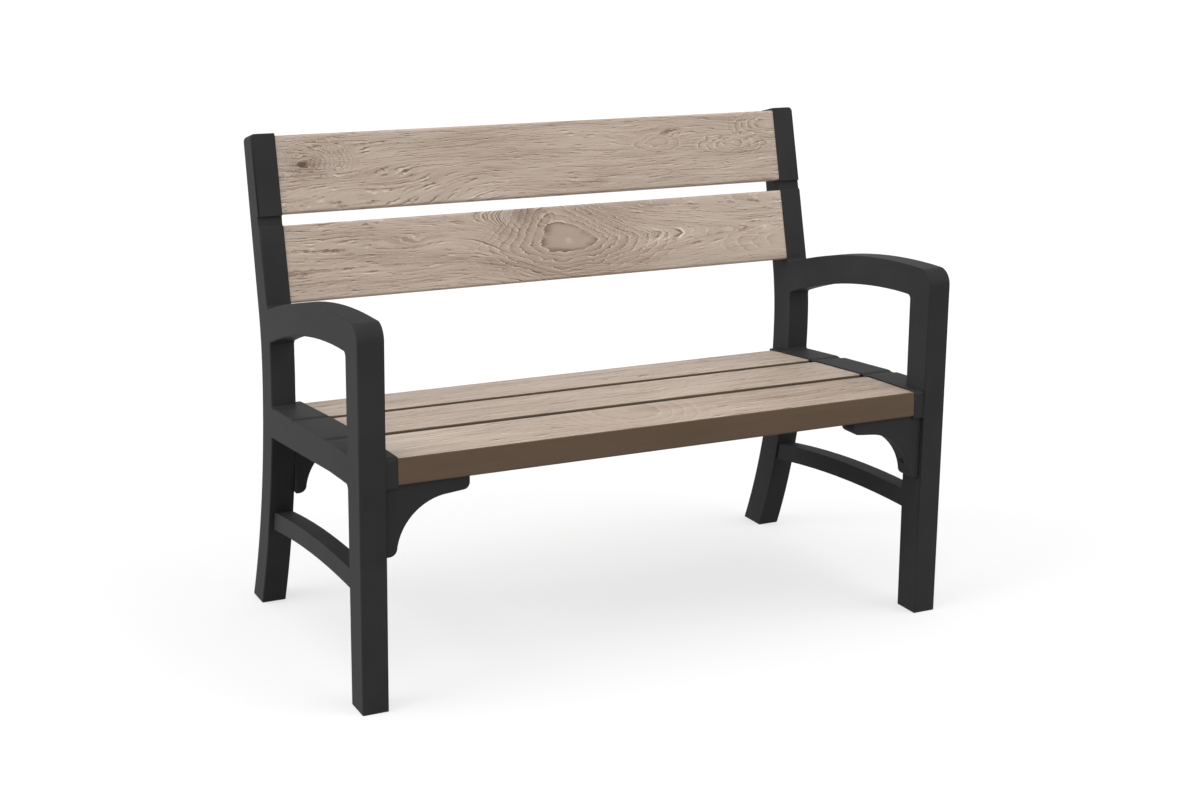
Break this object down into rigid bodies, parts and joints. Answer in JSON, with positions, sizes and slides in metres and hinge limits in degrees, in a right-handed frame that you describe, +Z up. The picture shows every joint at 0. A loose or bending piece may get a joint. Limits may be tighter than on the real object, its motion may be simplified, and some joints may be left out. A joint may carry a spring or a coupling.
{
  "type": "garden bench",
  "caption": "Garden bench with arms: dark moulded side frames, wood-look seat and back slats, curved corner brackets.",
  "frame": {"origin": "on the ground under the middle of the bench's bounding box", "axes": "+X along the bench towards the right-hand frame as seen from the front, +Y from front to back, +Z up"},
  "size_m": [1.12, 0.6115, 0.8762],
  "materials": {
    "graphite_moulding": "fine matt grain",
    "weathered_oak_plank": "embossed wood grain, matt",
    "screw_steel": "satin"
  },
  "bodies": {
    "root": {"side_frame_left": "graphite_moulding", "side_frame_right": "graphite_moulding", "corner_bracket_front_left": "graphite_moulding", "corner_bracket_front_right": "graphite_moulding", "corner_bracket_rear_left": "graphite_moulding", "corner_bracket_rear_right": "graphite_moulding", "seat_slat_front": "weathered_oak_plank", "seat_slat_middle": "weathered_oak_plank", "seat_slat_rear": "weathered_oak_plank", "back_slat_lower": "weathered_oak_plank", "back_slat_upper": "weathered_oak_plank", "seat_screws_left": "screw_steel", "seat_screws_right": "screw_steel", "back_screws_left": "screw_steel", "back_screws_right": "screw_steel", "bracket_screws_front_left": "screw_steel", "bracket_screws_front_right": "screw_steel", "bracket_screws_rear_left": "screw_steel", "bracket_screws_rear_right": "screw_steel"}
  },
  "joints": []
}
